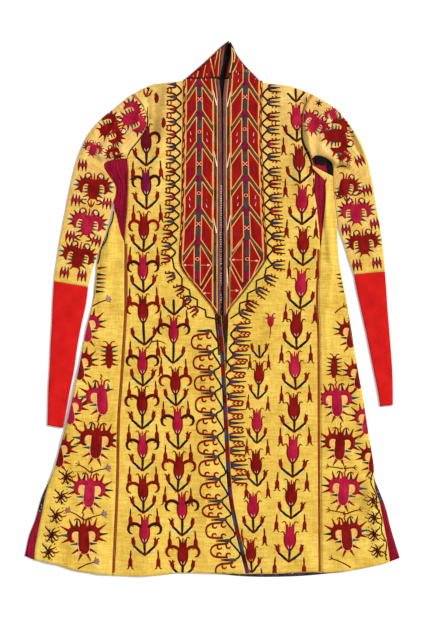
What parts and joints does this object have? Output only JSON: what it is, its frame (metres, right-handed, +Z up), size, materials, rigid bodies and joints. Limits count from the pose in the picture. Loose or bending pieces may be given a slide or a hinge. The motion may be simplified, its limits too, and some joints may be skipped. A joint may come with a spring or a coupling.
{
  "type": "chyrpy cloak",
  "caption": "Embroidered yellow silk cloak with long narrow false sleeves, scarlet cuffs and a peaked stand collar, lying flat on its back.",
  "frame": {"origin": "on the surface under the middle of the spread cloak", "axes": "+Y towards the collar, +X to the right as seen from above, +Z up through the front"},
  "size_m": [0.8554, 1.222, 0.0125],
  "materials": {
    "yellow_silk": "slubbed silk with a soft sheen",
    "crimson_embroidery": "dense lacing stitch in silk floss",
    "magenta_silk": "gathered plain silk",
    "scarlet_wool": "fine matt wool",
    "brown_braid": "plied silk braid",
    "dark_lining": "printed cotton"
  },
  "bodies": {
    "root": {"back_body": "yellow_silk", "back_gore_left": "yellow_silk", "back_gore_right": "yellow_silk", "gusset_back_left": "magenta_silk", "gusset_back_right": "magenta_silk", "collar_back": "crimson_embroidery", "lining_neck": "dark_lining", "lining_underarm_right": "dark_lining", "lining_hem": "dark_lining", "facing_slit_left": "magenta_silk", "facing_slit_right": "magenta_silk", "front_left": "yellow_silk", "front_right": "yellow_silk", "front_gore_left": "yellow_silk", "front_gore_right": "yellow_silk", "gusset_left": "magenta_silk", "gusset_right": "magenta_silk", "sleeve_left": "yellow_silk", "sleeve_right": "yellow_silk", "cuff_left": "scarlet_wool", "cuff_right": "scarlet_wool", "yoke_left": "crimson_embroidery", "yoke_right": "crimson_embroidery", "braid_left": "brown_braid", "braid_right": "brown_braid", "collar_left": "crimson_embroidery", "collar_right": "crimson_embroidery"}
  },
  "joints": []
}
